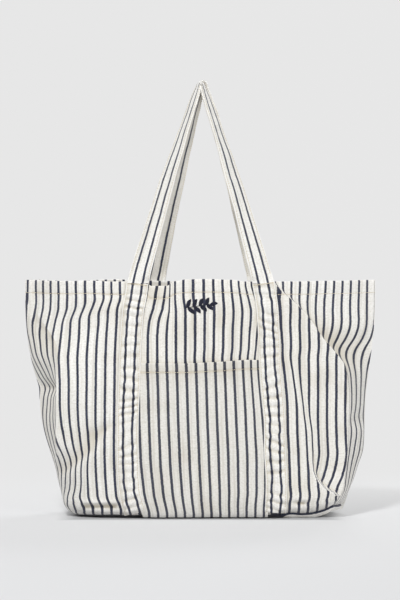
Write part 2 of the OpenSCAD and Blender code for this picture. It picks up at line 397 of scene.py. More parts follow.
def foot(x):
    """Height of the base seam: a narrow gap along the front and the base's rounded corner at the right."""
    return through(x, (-185, 3), (-150, 4.5), (-125, 5), (-90, 4.6), (-70, 7), (-40, 8), (-15, 6.4),
                   (12, 5.4), (90, 4.8), (112, 5.6), (127, 7.6), (145, 6.6), (158, 7.4), (170, 10),
                   (180, 13.2), (190, 17), (200, 15), (225, 14))


def mouth_z(x):
    """Height of the pocket's mouth."""
    return pocket_top + 2.6 + 5.2 * smooth(-30, 90, x) + 0.5 * noise(x, 0, 26, 10, 161)


def front_shade(x, z):
    """Painted shade of the front, from 0 to 1: in creases, tucks and hollows, along the hem stitching,
    beside the straps and above the pocket's mouth.
    """
    side_gap = [np.abs(x - strap_x(side, z)) - strap_w / 2 for side in (-1, 1)]
    past_left = x - strap_x(-1, z) - strap_w / 2
    before_right = strap_x(1, z) - strap_w / 2 - x
    between = smooth(0, 3, past_left) * smooth(0, 3, before_right)
    above = z - mouth_z(x)
    shade = 0.8 * np.exp(-np.clip(above, 0, None) / 3.5) * between
    shade = shade + 0.45 * bump(z, rim_z - hem_stitch, 1.8) * (1 + 0.8 * noise(x, z, 9, 40, 21))
    for gap in side_gap:
        shade = shade + 0.45 * np.exp(-np.clip(gap, 0, None) / 2.5)
    shade = shade - 0.14 * fold(x, z, corner_valley, -5.0, 18, 9)
    shade = shade + 0.9 * bump(x, 142, 7) * bump(z, 16.5, 3)
    shade = shade + 0.9 * bump(np.clip(x, -162, -124), x, 6) * bump(z, 13, 4)
    shade = shade + 0.45 * bump(x, 27, 9) * bump(z, 284, 18)
    shade = shade + 0.35 * bump(x, -62, 12) * bump(z, 326, 12)
    blotch = noise(x, z, 34, 26, 171) + 0.6 * noise(x, z, 13, 17, 172)
    # The middle and right get a little painted shade; the blotches are random tone.
    return np.clip(shade + 0.15 * smooth(-110, -70, x) + 0.30 * smooth(0.1, 1.1, blotch), 0, 1)


def side_shade(side, x, z):
    """Painted shade of a side's cloth next to the edge of the front: in the hollow beside the right crease,
    in the left fold, and a little all over the left side.
    """
    past = np.clip(side * x - crease_x(side, z), 0, None)
    if side > 0:
        return np.clip(1.3 * np.exp(-past / 28) * bump(z, 246, 36) + 0.25 * np.exp(-past / 8), 0, 1)
    return 0.8 * bump(z, 258, 30) * np.exp(-past / 22) + 0.25 * bump(z, 150, 60) + 0.05


# ---- Meshes ----

def to_mesh(name, points, faces, cloth):
    """A mesh object from points in millimetres, with its cloth coordinates kept on the points."""
    mesh = bpy.data.meshes.new(name)
    mesh.from_pydata((np.asarray(points) * MM).tolist(), [], faces)
    if cloth is not None:
        attribute = mesh.attributes.new("cloth", "FLOAT_VECTOR", "POINT")
        attribute.data.foreach_set("vector", np.asarray(cloth, np.float32).ravel())
    mesh.polygons.foreach_set("use_smooth", np.ones(len(mesh.polygons), bool))
    mesh.set_sharp_from_angle(angle=math.radians(55))
    mesh.update()
    obj = bpy.data.objects.new(name, mesh)
    bpy.context.scene.collection.objects.link(obj)
    return obj


def unit(vectors):
    """The same vectors at length 1."""
    return vectors / np.maximum(np.linalg.norm(vectors, axis=-1, keepdims=True), 1e-9)


def grid_normals(grid):
    """Unit normals of a grid of points, by the directions of its rows and columns."""
    return unit(np.cross(np.gradient(grid, axis=1), np.gradient(grid, axis=0)))


def sheet(name, outer, cloth, thickness, inner_shade=0.8):
    """Closed cloth of the given thickness, grown inwards from a grid of points on its outer face."""
    rows, cols = outer.shape[:2]
    inner = outer - grid_normals(outer) * thickness
    points = np.concatenate([outer.reshape(-1, 3), inner.reshape(-1, 3)])
    marks = np.zeros((2, rows, cols, 3))
    marks[:, :, :, :cloth.shape[2]] = cloth
    marks[:, :, :, :2] *= MM
    marks[1, :, :, 2] = inner_shade
    size = rows * cols
    at = np.arange(size).reshape(rows, cols)
    a, b, c, d = at[:-1, :-1], at[:-1, 1:], at[1:, 1:], at[1:, :-1]
    faces = [np.stack([a, b, c, d], -1).reshape(-1, 4)]
    faces.append(np.stack([a, d, c, b], -1).reshape(-1, 4) + size)
    rim = np.concatenate([at[0, :], at[1:, -1], at[-1, -2::-1], at[-2::-1, 0]])
    for i, j in zip(rim[:-1], rim[1:]):
        faces.append(np.array([[j, i, i + size, j + size]]))
    return to_mesh(name, points, np.concatenate(faces).tolist(), marks.reshape(-1, 3))


def run_along(points):
    """Distance along a polyline at each of its points."""
    return np.concatenate([[0], np.cumsum(np.linalg.norm(np.diff(points, axis=0), axis=1))])


def sampled(values, run, at):
    """Rows of values, known at the distances run, read at the distances at."""
    return np.stack([np.interp(at, run, column) for column in values.T], -1)


def bezier(p0, p1, p2, p3, t):
    """Points of a cubic curve."""
    return p0 * (1 - t) ** 3 + 3 * p1 * t * (1 - t) ** 2 + 3 * p2 * t * t * (1 - t) + p3 * t ** 3


def even(points, count, ease=1.0):
    """Points at even spacing along a polyline, or closer together at its start with an ease above 1."""
    run = run_along(points)
    return sampled(points, run, run[-1] * np.linspace(0, 1, count) ** ease)


# ---- The bag's cloth ----

front_cols = 106
wing_cols = 46
wing_ease = 1.4         # crowds the side's columns towards the edge of the front
half_cloth = 266.0      # cloth from the middle of the front to a side seam
row_z = np.concatenate([np.array([0, 0.8, 2.2, 4.2, 6.6, 9.3]), np.linspace(12, rim_z, 136)])


def wing_shape(face, side, z):
    """Angles and lengths of a side's plan curve, where it leaves the face and where it meets the seam."""
    if face == "front" and side > 0:
        leave = through(z, (0, 80), (120, 66), (205, 82), (230, 98), (270, 108), (315, 112), (rim_z, 60))
        leave_l = through(z, (0, 22), (120, 18), (207, 15), (230, 24), (262, 20), (300, 10), (rim_z, 6))
        meet = through(z, (0, 88), (120, 80), (207, 56), (232, 46), (262, 32), (300, 24), (rim_z, 24))
        meet_l = through(z, (0, 26), (120, 22), (207, 20), (240, 30), (300, 60), (rim_z, 70))
    elif face == "front":
        leave = through(z, (0, 78), (60, 84), (90, 100), (170, 98), (200, 84), (235, 72), (270, 60),
                        (rim_z, 50))
        leave_l = through(z, (0, 24), (120, 24), (200, 22), (240, 18), (280, 9), (rim_z, 3))
        meet = through(z, (0, 88), (60, 78), (120, 58), (185, 40), (215, 62), (260, 64), (300, 60),
                       (rim_z, 52))
        meet_l = through(z, (0, 24), (120, 22), (185, 16), (215, 22), (260, 16), (rim_z, 3))
    else:
        leave = through(z, (0, 78), (120, 70), (200, 70), (240, 56), (280, 42), (rim_z, 20))
        leave_l = through(z, (0, 24), (120, 22), (200, 20), (240, 26), (300, 30), (rim_z, 40))
        meet = through(z, (0, 88), (120, 86), (200, 80), (240, 62), (290, 42), (rim_z, 34))
        meet_l = through(z, (0, 24), (120, 24), (200, 22), (240, 28), (300, 34), (rim_z, 44))
    return np.radians(leave), leave_l, np.radians(meet), meet_l


def wing_points(face, side, z, start):
    """Plan points of one side, from the crease at start to the side seam."""
    leave, leave_l, meet, meet_l = wing_shape(face, side, z)
    out = 1 if face == "front" else -1
    seam = np.array([side * edge_x(side, z), 0.0])
    p1 = start + leave_l * np.array([side * math.cos(leave), out * math.sin(leave)])
    p2 = seam - meet_l * np.array([side * math.cos(meet), out * math.sin(meet)])
    t = np.linspace(0, 1, 90)[:, None]
    return bezier(start[None], p1[None], p2[None], seam[None], t)


def wing_wave(side, face, u, z):
    """Sideways waves in the side cloth, none at the crease or the seam."""
    ends = np.sin(np.pi * np.clip(u, 0, 1)) ** 0.7
    if face == "front" and side > 0:
        wave = 4.5 * bump(z, 272, 18) - 3.0 * bump(z, 232, 22) + 1.6 * noise(u * 60, z, 34, 50, 81)
        wave = wave + 2.0 * bump(z, 118, 14) - 2.0 * bump(z, 142, 10)
    elif face == "front":
        wave = 3.0 * bump(z, 232, 24) - 5.0 * bump(z, 184, 9) + 3.0 * bump(z, 140, 24)
        wave = wave + 1.6 * noise(u * 60, z, 30, 42, 82)
    else:
        wave = 2.5 * noise(u * 60, z, 34, 50, 83 + side)
    return wave * ends


def round_crease(points, at, reach):
    """Rounds the corner of a polyline at index at, over the given length on each side."""
    run = run_along(points)
    run = run - run[at]
    u = np.clip((run + reach) / (2 * reach), 0, 1)[:, None]
    a, b = sampled(points, run, (-reach, reach))
    arc = a * (1 - u) ** 2 + 2 * points[at] * u * (1 - u) + b * u * u
    inside = (np.abs(run) < reach)[:, None]
    return np.where(inside, arc, points)


def half_row(face, side, z):
    """One side of a row: plan points from the middle to the side seam, and their place in the cloth."""
    if face == "front":
        crease = crease_x(side, z)
    else:
        crease = crease_x(1, 100) * edge_x(side, z) / edge_x(side, 100)
    x = side * np.linspace(0, crease, 260)
    surface = face_shapes[face][0]
    y = surface(x, np.full_like(x, z))
    face_points = np.stack([x, y], -1)
    wing = wing_points(face, side, z, face_points[-1])
    if face == "back":
        reach = through(z, (0, 12), (60, 9), (190, 9), (280, 26), (rim_z, 40))
    elif side > 0:
        reach = through(z, (0, 8), (60, 5), (190, 4), (215, 1.4), (rim_z, 1.4))
    else:
        reach = through(z, (0, 12), (70, 12), (95, 4), (190, 3), (250, 5), (300, 12), (rim_z, 6))
    both = round_crease(np.concatenate([face_points, wing[1:]]), len(face_points) - 1, float(reach))
    flat = even(both[:len(face_points)], front_cols)
    turn = even(both[len(face_points) - 1:], wing_cols, wing_ease)
    across = unit(np.gradient(turn, axis=0))
    out = np.stack([across[:, 1], -across[:, 0]], -1) * side * (1 if face == "front" else -1)
    u = np.linspace(0, 1, wing_cols) ** wing_ease
    turn = turn + out * wing_wave(side, face, u, np.full(wing_cols, z))[:, None]
    flat_run = run_along(flat)
    turn_run = run_along(turn)
    left_over = half_cloth - flat_run[-1]
    turn_s = flat_run[-1] + left_over * turn_run / turn_run[-1]
    if face == "front":
        turn_s = turn_s + slide(side, z) * (smooth(0, 0.03, u) if side > 0 else u)
    s = np.concatenate([flat_run, turn_s[1:]])
    return np.concatenate([flat, turn[1:]]), side * s


def plan_normals(plan):
    """Unit normals of plan polylines, pointing away from the bag's inside."""
    along = unit(np.gradient(plan, axis=0))
    return np.stack([along[:, 1], -along[:, 0]], -1)


def turned_hem(grid, cloth, depth, radius):
    """Adds rows that roll the top of a sheet over and down its inside, as a hem."""
    normal = plan_normals(grid[-1, :, :2])
    rows = []
    marks = []
    for angle in np.linspace(0, math.pi, 7)[1:]:
        row = grid[-1].copy()
        row[:, :2] -= normal * radius * (1 - math.cos(angle))
        row[:, 2] += radius * math.sin(angle)
        rows.append(row)
        marks.append(cloth[-1] + np.array([0, radius * angle, 0]))
    top = grid[-1, :, 2].mean()
    for i in range(len(grid) - 2, 0, -2):
        if grid[i, :, 2].mean() < top - depth:
            break
        row = grid[i].copy()
        row[:, :2] -= plan_normals(row[:, :2]) * 2 * radius
        rows.append(row)
        # The rows turned down the inside get 0.4 more painted shade.
        down = (cloth[-1] - cloth[i]) * np.array([0, 1, 0])
        marks.append(cloth[-1] + np.array([0, radius * math.pi, 0.4]) + down)
    return np.concatenate([grid, np.array(rows)]), np.concatenate([cloth, np.array(marks)])


def panel(face):
    """Grid of points and cloth coordinates for the front or back cloth, from side seam to side seam."""
    rim = face_shapes[face][1]
    points = []
    cloth = []
    for z in row_z:
        left, left_s = half_row(face, -1, z)
        right, right_s = half_row(face, 1, z)
        plan = np.concatenate([left[:0:-1], right])
        s = np.concatenate([left_s[:0:-1], right_s])
        x = plan[:, 0]
        settle = 1 - smooth(rim_half - 60, rim_half, np.abs(x))
        height = z + rim(x) * smooth(rim_z - 60, rim_z, z) * settle
        if face == "front":
            height = height + foot(x) * (1 - smooth(0, 60, z))
            on_front = np.zeros(len(s))
            on_front[wing_cols - 1:len(s) - wing_cols + 1] = 1
            s = s - shear(x, z) * np.where(x < -150, 1, on_front)
            shade = front_shade(x, z + 0 * x) * on_front
            shade[:wing_cols] = side_shade(-1, x[:wing_cols], z)
            shade[-wing_cols:] = side_shade(1, x[-wing_cols:], z)
        else:
            forward = 1 - smooth(0, 55, plan[:, 1])
            height = height + foot(x) * forward * (1 - smooth(0, 60, z))
            s = s - 1.5 * noise(x, z, 60, 110, 74)
            shade = 0.3 * smooth(0.1, 0.9, noise(x, z, 34, 26, 173))
        # The lowest millimetres turn in to the base seam.
        tuck = 2.2 * (1 - smooth(0, 2.6, z))
        plan = plan - plan_normals(plan) * tuck * (1 if face == "front" else -1)
        points.append(np.column_stack([plan, height]))
        cloth.append(np.column_stack([s, np.full_like(s, z), shade]))
    points = np.array(points)
    cloth = np.array(cloth)
    if face == "back":
        points = points[:, ::-1]
        cloth = cloth[:, ::-1]
    return points, cloth


front_body, front_body_marks = panel("front")
back_body, back_body_marks = panel("back")
front_grid, front_marks = turned_hem(front_body, front_body_marks, hem_h, hem_roll)
back_grid, back_marks = turned_hem(back_body, back_body_marks, hem_h, hem_roll)
front_cloth = sheet("front_cloth", front_grid, front_marks, cloth_t)
back_cloth = sheet("back_cloth", back_grid, back_marks, cloth_t)


def base_cloth():
    """The base: rings that run from the bottom seam, round the bottom edge and in to the middle fold."""
    loop = np.concatenate([front_body[0], back_body[0][1:-1]])
    count = len(loop)
    outward = plan_normals(np.concatenate([loop[-2:, :2], loop[:, :2], loop[:2, :2]]))[2:-2]
    spine_half = 110.0
    band_h = 8.0
    high = loop[:, 2]
    bulging = smooth(96, 122, loop[:, 0])
    tucked = through(loop[:, 0], (90, 13), (118, 1.5))
    edge_parts = (0.0, 0.15, 0.4, 0.7, 0.9, 1.0)
    rings = []
    for part in edge_parts:
        ring = loop.copy()
        swell = 2.4 * math.sin(math.pi * min(1, part * 1.15)) ** 0.6
        out = swell * bulging * np.minimum(1, 0.35 + high / 8) - tucked * part ** 1.4
        ring[:, :2] += outward * out[:, None]
        ring[:, 2] = high - part * np.minimum(high - 0.5, band_h)
        rings.append(ring)
    edge = rings[-1]
    for u in np.linspace(0, 1, 26)[1:]:
        spine = np.column_stack([np.clip(edge[:, 0], -spine_half, spine_half), np.zeros(count)])
        plan = edge[:, :2] * (1 - u) + spine * u
        sag = 0.5 + 1.1 * (noise(plan[:, 0], plan[:, 1], 45, 30, 91) + 1) * smooth(0, 0.25, u)
        sag = sag + (edge[:, 2] - 0.5) * (1 - smooth(0, 0.45, u))
        rings.append(np.column_stack([plan, sag]))
    rings = np.array(rings)
    band = len(edge_parts)
    inward = np.zeros_like(rings)
    inward[:band, :, :2] = -outward * cloth_t
    inward[band // 2:, :, 2] = cloth_t
    points = np.concatenate([rings.reshape(-1, 3), (rings + inward).reshape(-1, 3)])
    size = len(rings) * count
    faces = []
    for c in range(count):
        n = (c + 1) % count
        for r in range(len(rings) - 1):
            a, b, d, e = r * count + c, r * count + n, (r + 1) * count + n, (r + 1) * count + c
            faces.append([a, e, d, b])
            faces.append([a + size, b + size, d + size, e + size])
        faces.append([c, n, n + size, c + size])
    # The base is cut with its stripes lengthwise, and one of them lies along the seam. Where the band is out
    # of sight under the front, that stripe is stretched over all of it and given full painted shade, a
    # painted contact shadow; the shown band at the right gets a little painted shade.
    marks = np.column_stack([points[:, 1] * MM, points[:, 0] * MM, np.zeros(len(points))])
    shown = np.tile(smooth(112, 128, loop[:, 0]), band)
    down = np.repeat(edge_parts, count) * np.minimum(np.tile(high, band), band_h) * (0.3 + 0.7 * shown)
    marks[:count * band, 0] = (stripe_phase - 1.0 + down) * MM
    marks[:count * band, 2] = 1 - 0.8 * shown
    return to_mesh("base_cloth", points, faces, marks)


base = base_cloth()


def seam_tape(name, side):
    """The bound seam allowance that stands inwards along a side seam."""
    z = np.linspace(6, rim_z - 3, 110)
    edge = side * (edge_x(side, z) - 2.2)
    grid = np.zeros((len(z), 8, 3))
    for i, u in enumerate(np.linspace(0, 1, 8)):
        wave = 1.2 * noise(z, 0 * z, 32, 10, 95 + side) * u
        grid[:, i] = np.column_stack([edge - side * 10 * u, wave - 0.9, z])
    marks = np.stack([grid[:, :, 0] * 0, grid[:, :, 2]], -1)
    if side > 0:
        grid = grid[:, ::-1]
        marks = marks[:, ::-1]
    return sheet(name, grid, marks, 1.8)


left_tape = seam_tape("left_side_tape", -1)
right_tape = seam_tape("right_side_tape", 1)

# ---- Materials ----

class Graph:
    """Short ways to add nodes to a material or a world."""

    def __init__(self, owner):
        owner.use_nodes = True
        self.nodes = owner.node_tree.nodes
        self.links = owner.node_tree.links

    def math(self, operation, a, b=None, c=None):
        node = self.nodes.new("ShaderNodeMath")
        node.operation = operation
        for socket, value in zip(node.inputs, (a, b, c)):
            self.feed(socket, value)
        return node.outputs[0]

    def times(self, a, b):
        return self.math("MULTIPLY", a, b)

    def plus(self, a, b):
        return self.math("ADD", a, b)

    def minus(self, a, b):
        return self.math("SUBTRACT", a, b)

    def feed(self, socket, value):
        if value is None:
            return
        if isinstance(value, bpy.types.NodeSocket):
            self.links.new(value, socket)
        else:
            socket.default_value = value

    def noise(self, vector, scale, detail=2.0, rough=0.5):
        node = self.nodes.new("ShaderNodeTexNoise")
        self.feed(node.inputs["Vector"], vector)
        set_inputs(node, {"Scale": scale, "Detail": detail, "Roughness": rough})
        return node.outputs["Fac"]

    def split(self, vector):
        node = self.nodes.new("ShaderNodeSeparateXYZ")
        self.feed(node.inputs[0], vector)
        return node.outputs

    def combine(self, x, y, z=0.0):
        node = self.nodes.new("ShaderNodeCombineXYZ")
        for socket, value in zip(node.inputs, (x, y, z)):
            self.feed(socket, value)
        return node.outputs[0]

    def mix(self, factor, a, b):
        node = self.nodes.new("ShaderNodeMix")
        node.data_type = "RGBA"
        self.feed(node.inputs["Factor"], factor)
        self.feed(node.inputs["A"], a)
        self.feed(node.inputs["B"], b)
        return node.outputs["Result"]

    def step(self, value, low, high):
        node = self.nodes.new("ShaderNodeMapRange")
        node.interpolation_type = "SMOOTHSTEP"
        self.feed(node.inputs["Value"], value)
        self.feed(node.inputs["From Min"], low)
        self.feed(node.inputs["From Max"], high)
        return node.outputs["Result"]


def set_inputs(node, values):
    """Sets a node's inputs by name."""
    for name, value in values.items():
        node.inputs[name].default_value = value


def shader(name):
    """A new material with only a principled shader, and the graph to feed it."""
    material = bpy.data.materials.new(name)
    g = Graph(material)
    g.nodes.clear()
    out = g.nodes.new("ShaderNodeOutputMaterial")
    principled = g.nodes.new("ShaderNodeBsdfPrincipled")
    g.links.new(principled.outputs[0], out.inputs[0])
    return material, principled, g


cream = (0.80, 0.79, 0.76, 1)
cream_dark = (0.62, 0.595, 0.535, 1)
cream_light = (0.91, 0.902, 0.88, 1)
# Tan of painted shade, for creases, hollows and inner faces.
painted_shade_tan = (0.55, 0.485, 0.36, 1)
navy_dark = (0.020, 0.023, 0.045, 1)
navy_worn = (0.068, 0.076, 0.125, 1)
# Navy of painted shade.
navy_painted_shade = (0.010, 0.010, 0.018, 1)
# Grey of painted shade, mixed over a whole piece.
painted_shade_grey = (0.2, 0.19, 0.17, 1)


def add_relief(g, principled, height, strength, distance):
    """Bumps the material's surface by a height value."""
    relief = g.nodes.new("ShaderNodeBump")
    set_inputs(relief, {"Strength": strength, "Distance": distance})
    g.links.new(height, relief.inputs["Height"])
    g.links.new(relief.outputs[0], principled.inputs["Normal"])


def canvas_material(name, pitch, phase, half_width, tone=1.0):
    """Woven canvas with navy warp stripes, read from the cloth coordinates."""
    material, principled, g = shader(name)
    cloth = g.nodes.new("ShaderNodeAttribute")
    cloth.attribute_name = "cloth"
    s, v, shade = g.split(cloth.outputs["Vector"])

    def grain(across, along, detail, rough):
        """Noise with the given number of cells per metre across and along the warp."""
        return g.noise(g.combine(g.times(s, across), g.times(v, along)), 1.0, detail, rough)

    def tint(base, value, low, high, amount, colour):
        """Mixes a colour in where a value passes from low to high."""
        return g.mix(g.times(g.step(value, low, high), amount), base, colour)

    # The edge of a stripe wanders by a yarn or so, and a stripe is painted wider where the shade value is
    # high, as painted shade in creases.
    shift = g.times(g.minus(grain(60.0, 260.0, 3.0, 0.7), 0.5), 0.0011)
    along = g.plus(g.minus(s, phase * MM), shift)
    turns = g.plus(g.math("DIVIDE", along, pitch * MM), 0.5)
    distance = g.times(g.math("ABSOLUTE", g.minus(g.math("FRACT", turns), 0.5)), pitch * MM)
    distance = g.minus(distance, g.times(shade, 0.0005))
    stripe = g.minus(1.0, g.step(distance, (half_width - 0.35) * MM, (half_width + 0.3) * MM))
    # Plain weave: warp yarns along v, weft yarns along s.
    yarn = 0.00095
    warp = g.math("SINE", g.times(s, 2 * math.pi / yarn))
    weft = g.math("SINE", g.times(v, 2 * math.pi / yarn))
    weave = g.times(warp, weft)
    # Yarn streaks along the warp, slubs across it and slow colour drift.
    streak = grain(900.0, 22.0, 3.0, 0.6)
    slub = grain(45.0, 900.0, 2.0, 0.6)
    light = g.mix(g.step(streak, 0.3, 0.75), cream, cream_light)
    light = tint(light, grain(210.0, 6.0, 2.0, 0.5), 0.45, 0.75, 0.75, cream_dark)
    light = tint(light, slub, 0.5, 0.75, 0.5, cream_dark)
    light = tint(light, grain(11.0, 11.0, 3.0, 0.6), 0.5, 0.8, 0.25, cream_dark)
    light = tint(light, weave, 0.2, 1.0, 0.12, cream_dark)
    # Painted shade: concave creases (low pointiness) and the shade value mix in tan; a fine dark grain
    # follows; painted highlight: raised folds (high pointiness) are made paler.
    shape = g.nodes.new("ShaderNodeNewGeometry").outputs["Pointiness"]
    light = tint(light, shape, 0.5, 0.44, 0.6, painted_shade_tan)
    light = g.mix(g.times(shade, 0.6), light, painted_shade_tan)
    light = tint(light, grain(330.0, 420.0, 2.0, 0.7), 0.42, 0.7, 0.6, cream_dark)
    light = tint(light, shape, 0.5, 0.56, 0.5, cream_light)
    worn = g.plus(g.times(slub, 0.6), g.times(streak, 0.5))
    dark = g.mix(g.step(worn, 0.4, 0.85), navy_dark, navy_worn)
    # Painted shade also darkens the navy stripes, most where the shade value is high.
    dark = g.mix(g.times(shade, 0.6), dark, navy_painted_shade)
    colour = g.mix(stripe, light, dark)
    # A tone below 1 mixes in grey: painted shade over the whole piece.
    if tone != 1.0:
        colour = g.mix(1.0 - tone, colour, painted_shade_grey)
    g.links.new(colour, principled.inputs["Base Color"])
    height = g.plus(g.times(weave, 0.5), g.times(g.plus(streak, slub), 0.8))
    add_relief(g, principled, height, 0.35, 0.0003)
    set_inputs(principled, {"Roughness": 0.92, "Specular IOR Level": 0.2, "Sheen Weight": 0.25,
                            "Sheen Roughness": 0.6})
    return material


def thread_material(name, colour_a, colour_b, rough):
    """Twisted thread, mottled between two colours."""
    material, principled, g = shader(name)
    place = g.nodes.new("ShaderNodeTexCoord").outputs["Object"]
    tone = g.noise(place, 900.0, 2.0)
    g.links.new(g.mix(g.step(tone, 0.3, 0.7), colour_a, colour_b), principled.inputs["Base Color"])
    twist = g.nodes.new("ShaderNodeTexWave")
    twist.bands_direction = "DIAGONAL"
    twist.inputs["Scale"].default_value = 900.0
    g.links.new(place, twist.inputs["Vector"])
    add_relief(g, principled, twist.outputs["Fac"], 0.5, 0.0002)
    set_inputs(principled, {"Roughness": rough, "Specular IOR Level": 0.25, "Sheen Weight": 0.05})
    return material


canvas = canvas_material("striped_canvas", stripe_pitch, stripe_phase, 1.85)
# The pocket's tone of 0.9 paints shade over all of it.
pocket_canvas = canvas_material("pocket_canvas", stripe_pitch, stripe_phase, 1.85, 0.9)
strap_canvas = canvas_material("strap_canvas", stripe_pitch, stripe_pitch / 2, 1.65)
tape_canvas = canvas_material("tape_canvas", 400.0, 200.0, 0.0)
tan_thread = thread_material("tan_thread", (0.55, 0.475, 0.34, 1), (0.73, 0.66, 0.52, 1), 0.6)
navy_thread = thread_material("navy_thread", (0.006, 0.007, 0.016, 1), (0.018, 0.02, 0.042, 1), 0.6)

for piece in (front_cloth, back_cloth, base):
    piece.data.materials.append(canvas)


# ---- Straps and handles ----

def strap_section():
    """Places across a folded band with soft edges, and how far each lies above the band's face."""
    half = strap_w / 2
    across = np.concatenate([[-half, -half + 0.4, -half + 1.1], np.linspace(-half + 2.2, half - 2.2, 21),
                             [half - 1.1, half - 0.4, half]])
    crown = np.where(np.abs(across) > half - 0.2, -1.0, np.where(np.abs(across) > half - 0.6, -0.3, 0.0))
    return across, crown - 0.55 * bump(np.abs(across), half - 2.3, 0.9)


pucker_gap = 13.5       # mean distance between the puckers of a sewn strap
bend_r = 3.2            # bend of a handle's middle line at the top
back_loop_shift = 2.4   # how far the back handle's stripes lie to one side


def stitched_creases(w, z, seed, side):
    """Height, sideways pull and painted shade of the short slanting creases that stitching throws across a
    strap.
    """
    lean = 13.0 * noise(0 * z, z, 10, 41, seed + 6) + 4.0 * side
    slant = z + lean * w / strap_w + 1.6 * noise(w, z, 9, 30, seed + 5)
    place = slant / pucker_gap + 0.6 * noise(0 * z, z, 10, 37, seed)
    whole = np.floor(place + 0.5)
    strength = np.clip(0.75 + 0.6 * noise(0 * z, whole * pucker_gap, 10, pucker_gap, seed + 1), 0.25, 1)
    off = (place - whole) * pucker_gap
    reach = smooth(-0.5, 0.35, noise(w, whole * pucker_gap, 11, pucker_gap, seed + 7))
    crease = np.exp(-(off / 2.1) ** 2) * strength * (0.45 + 0.55 * reach)
    between = 1 - smooth(strap_w / 2 - 4.5, strap_w / 2 - 1.0, np.abs(w))
    puff = 1.1 * (0.4 + strength) * np.cos(2 * np.pi * (place - whole)) * -0.5
    height = (puff - 1.5 * crease + 0.3 * noise(0.2 * w, slant, 10, 7.0, seed + 2)) * between
    height = height + 0.35 * noise(0 * z, z, 10, 5.5, seed + 3) * (1 - between)
    pull = 0.9 * noise(0 * z, z, 10, 8, seed + 4) * between * smooth(0, 6, np.abs(w)) * np.sign(w)
    # Painted shade: in the creases, as dark spots where they cross the stripes, and along the edges outside
    # the stitching.
    on_stripe = bump(np.abs(w), stripe_pitch / 2, 2.4)
    spot = np.exp(-(off / 2.6) ** 2) * strength
    return height, pull, 0.6 * crease * between + spot * on_stripe + 0.25 * (1 - between)


def sewn_strap(name, face, side, seed):
    """A strap sewn to the front or back, from just above the base seam to the rim."""
    z = np.linspace(3.0, rim_z - 0.4, 400)
    surface, rim, strap_line, out = face_shapes[face]
    x = strap_line(side, z)
    lifted = z + rim(x) * smooth(rim_z - 60, rim_z, z)
    if face == "front":
        lifted = lifted + foot(x) * (1 - smooth(0, 60, z))
    across, crown = strap_section()
    slope = np.gradient(x, z)
    grid = np.zeros((len(z), len(across), 3))
    for i, w in enumerate(across):
        low = np.clip(z - w * slope, 0, rim_z)
        grid[:, i] = np.column_stack([x + w, surface(x + w, low), lifted - w * slope])
    w = across[None, :] + 0 * z[:, None]
    zz = z[:, None] + 0 * w
    height, pull, crease = stitched_creases(w, zz, seed, side)
    calm = 0.35 + 0.65 * (1 - smooth(rim_z - 34, rim_z - 14, zz))
    meets_handle = 1.0 * smooth(rim_z - 26, rim_z - 3, zz)
    grid[:, :, 1] += out * (face_offset + meets_handle + crown[None, :] + np.maximum(height * calm, -1.3))
    grid[:, :, 0] += pull * calm
    # A band of painted shade across the strap where it meets the rim, added to the creases' painted shade.
    rim_shade = 0.55 * bump(zz, rim_z - 3 - 0.12 * w, 3.0)
    marks = np.stack([w, zz, np.clip(crease * calm + rim_shade, 0, 1)], -1)
    if face == "back":
        grid = grid[:, ::-1]
        marks = marks[:, ::-1]
    piece = sheet(name, grid, marks, 1.3)
    piece.data.materials.append(strap_canvas)
    return piece, grid


def handle_path(face, side, count):
    """Centre line of one leg, from the rim to the start of the bend at the top."""
    surface, rim, strap_line, out = face_shapes[face]
    top_x, top_z = (0.5, front_top - 1.6) if face == "front" else (4.0, back_top - 1.6)
    foot_x = strap_line(side, rim_z)
    y0 = surface(np.array([foot_x]), np.array([rim_z]))[0] + out * 2.4
    y1 = out * (face_y + 5)
    if face == "back" and side < 0:
        foot_x = foot_x - 2.0
    foot_z = rim_z - 1.0 + rim(foot_x)
    bow = 3.0 if side > 0 else -3.2
    t = np.linspace(0, 1, count)
    x = foot_x + (top_x + side * bend_r - foot_x) * t + bow * np.sin(np.pi * t ** 0.9)
    z = foot_z + (top_z - bend_r - foot_z) * t
    y = y0 + (y1 - y0) * smooth(0, 0.8, t)
    return np.column_stack([x, y, z]), np.array([top_x, y1, top_z - bend_r])


